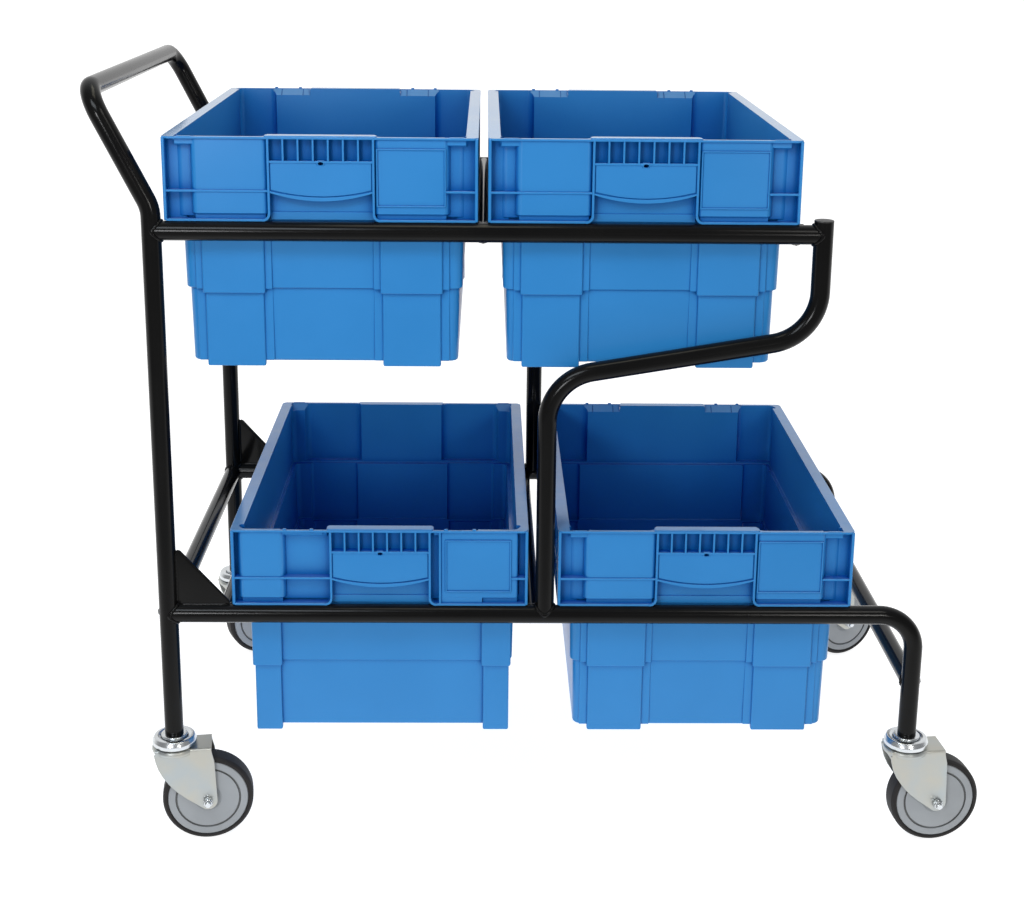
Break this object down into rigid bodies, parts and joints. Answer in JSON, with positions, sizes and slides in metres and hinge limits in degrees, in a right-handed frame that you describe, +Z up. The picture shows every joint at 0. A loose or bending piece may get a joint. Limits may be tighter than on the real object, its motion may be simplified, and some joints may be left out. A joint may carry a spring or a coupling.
{
  "type": "container trolley",
  "caption": "Two-tier push trolley of bent black steel tube on swivel castors, carrying blue stacking containers that lift out.",
  "frame": {"origin": "on the floor, under the middle of the trolley's outline", "axes": "+X runs along the trolley away from the handle, +Y runs across it away from the front, +Z is up"},
  "size_m": [1.2098, 0.684, 1.0541],
  "materials": {
    "black_paint": "gloss",
    "black_plastic": "satin",
    "blue_plastic": "satin",
    "zinc": "zinc plated",
    "bright_zinc": "bright zinc plated",
    "bearing_steel": "polished",
    "grey_plastic": "matt",
    "black_rubber": "matt"
  },
  "bodies": {
    "frame": {"handle_hoop": "black_paint", "upper_rail_front": "black_paint", "upper_rail_back": "black_paint", "lower_rail_front": "black_paint", "lower_rail_back": "black_paint", "bracket_front": "black_paint", "bracket_back": "black_paint", "bracket_cap_front": "black_plastic", "bracket_cap_back": "black_plastic", "post_crossbar": "black_paint", "leg_crossbar": "black_paint", "lower_left_crossbar": "black_paint", "lower_mid_crossbar": "black_paint", "upper_mid_crossbar": "black_paint", "upper_right_crossbar": "black_paint", "gusset_front": "black_paint", "gusset_back": "black_paint", "castor_stem_front_left": "bright_zinc", "castor_stem_front_right": "bright_zinc", "castor_stem_back_left": "bright_zinc", "castor_stem_back_right": "bright_zinc"},
    "upper_left_bin": {"bin_upper_left": "blue_plastic"},
    "upper_right_bin": {"bin_upper_right": "blue_plastic"},
    "lower_left_bin": {"bin_lower_left": "blue_plastic"},
    "lower_right_bin": {"bin_lower_right": "blue_plastic"},
    "front_left_castor": {"castor_fork_front_left": "zinc", "castor_head_front_left": "bright_zinc", "ball_ring_front_left": "bearing_steel", "axle_bolt_front_left": "bright_zinc", "axle_nut_front_left": "bright_zinc", "axle_bush_front_left": "bearing_steel"},
    "back_left_castor": {"castor_fork_back_left": "zinc", "castor_head_back_left": "bright_zinc", "ball_ring_back_left": "bearing_steel", "axle_bolt_back_left": "bright_zinc", "axle_nut_back_left": "bright_zinc", "axle_bush_back_left": "bearing_steel"},
    "front_right_castor": {"castor_fork_front_right": "zinc", "castor_head_front_right": "bright_zinc", "ball_ring_front_right": "bearing_steel", "axle_bolt_front_right": "bright_zinc", "axle_nut_front_right": "bright_zinc", "axle_bush_front_right": "bearing_steel"},
    "back_right_castor": {"castor_fork_back_right": "zinc", "castor_head_back_right": "bright_zinc", "ball_ring_back_right": "bearing_steel", "axle_bolt_back_right": "bright_zinc", "axle_nut_back_right": "bright_zinc", "axle_bush_back_right": "bearing_steel"},
    "front_left_wheel": {"wheel_core_front_left": "grey_plastic", "tyre_front_left": "black_rubber"},
    "back_left_wheel": {"wheel_core_back_left": "grey_plastic", "tyre_back_left": "black_rubber"},
    "front_right_wheel": {"wheel_core_front_right": "grey_plastic", "tyre_front_right": "black_rubber"},
    "back_right_wheel": {"wheel_core_back_right": "grey_plastic", "tyre_back_right": "black_rubber"}
  },
  "joints": [
    {"name": "lift_upper_left_bin", "type": "slide", "parent": "frame", "child": "upper_left_bin", "axis": [0, 0, 1], "range_m": [0, 0.3]},
    {"name": "lift_upper_right_bin", "type": "slide", "parent": "frame", "child": "upper_right_bin", "axis": [0, 0, 1], "range_m": [0, 0.3]},
    {"name": "lift_lower_left_bin", "type": "slide", "parent": "frame", "child": "lower_left_bin", "axis": [0, 0, 1], "range_m": [0, 0.2]},
    {"name": "lift_lower_right_bin", "type": "slide", "parent": "frame", "child": "lower_right_bin", "axis": [0, 0, 1], "range_m": [0, 0.15]},
    {"name": "swivel_front_left", "type": "hinge", "parent": "frame", "child": "front_left_castor", "pos_m": [-0.51774, -0.31021, 0.15], "axis": [0, 0, 1], "continuous": true},
    {"name": "swivel_back_left", "type": "hinge", "parent": "frame", "child": "back_left_castor", "pos_m": [-0.51774, 0.28179, 0.15], "axis": [0, 0, 1], "continuous": true},
    {"name": "swivel_front_right", "type": "hinge", "parent": "frame", "child": "front_right_castor", "pos_m": [0.49826, -0.31021, 0.15], "axis": [0, 0, 1], "continuous": true},
    {"name": "swivel_back_right", "type": "hinge", "parent": "frame", "child": "back_right_castor", "pos_m": [0.49826, 0.28179, 0.15], "axis": [0, 0, 1], "continuous": true},
    {"name": "roll_front_left", "type": "hinge", "parent": "front_left_castor", "child": "front_left_wheel", "pos_m": [-0.47515, -0.30422, 0.0625], "axis": [-0.1392, 0.9903, 0], "continuous": true},
    {"name": "roll_back_left", "type": "hinge", "parent": "back_left_castor", "child": "back_left_wheel", "pos_m": [-0.47942, 0.30131, 0.0625], "axis": [-0.454, 0.891, 0], "continuous": true},
    {"name": "roll_front_right", "type": "hinge", "parent": "front_right_castor", "child": "front_right_wheel", "pos_m": [0.5411, -0.30646, 0.0625], "axis": [-0.0872, 0.9962, 0], "continuous": true},
    {"name": "roll_back_right", "type": "hinge", "parent": "back_right_castor", "child": "back_right_wheel", "pos_m": [0.53755, 0.29928, 0.0625], "axis": [-0.4067, 0.9135, 0], "continuous": true}
  ]
}
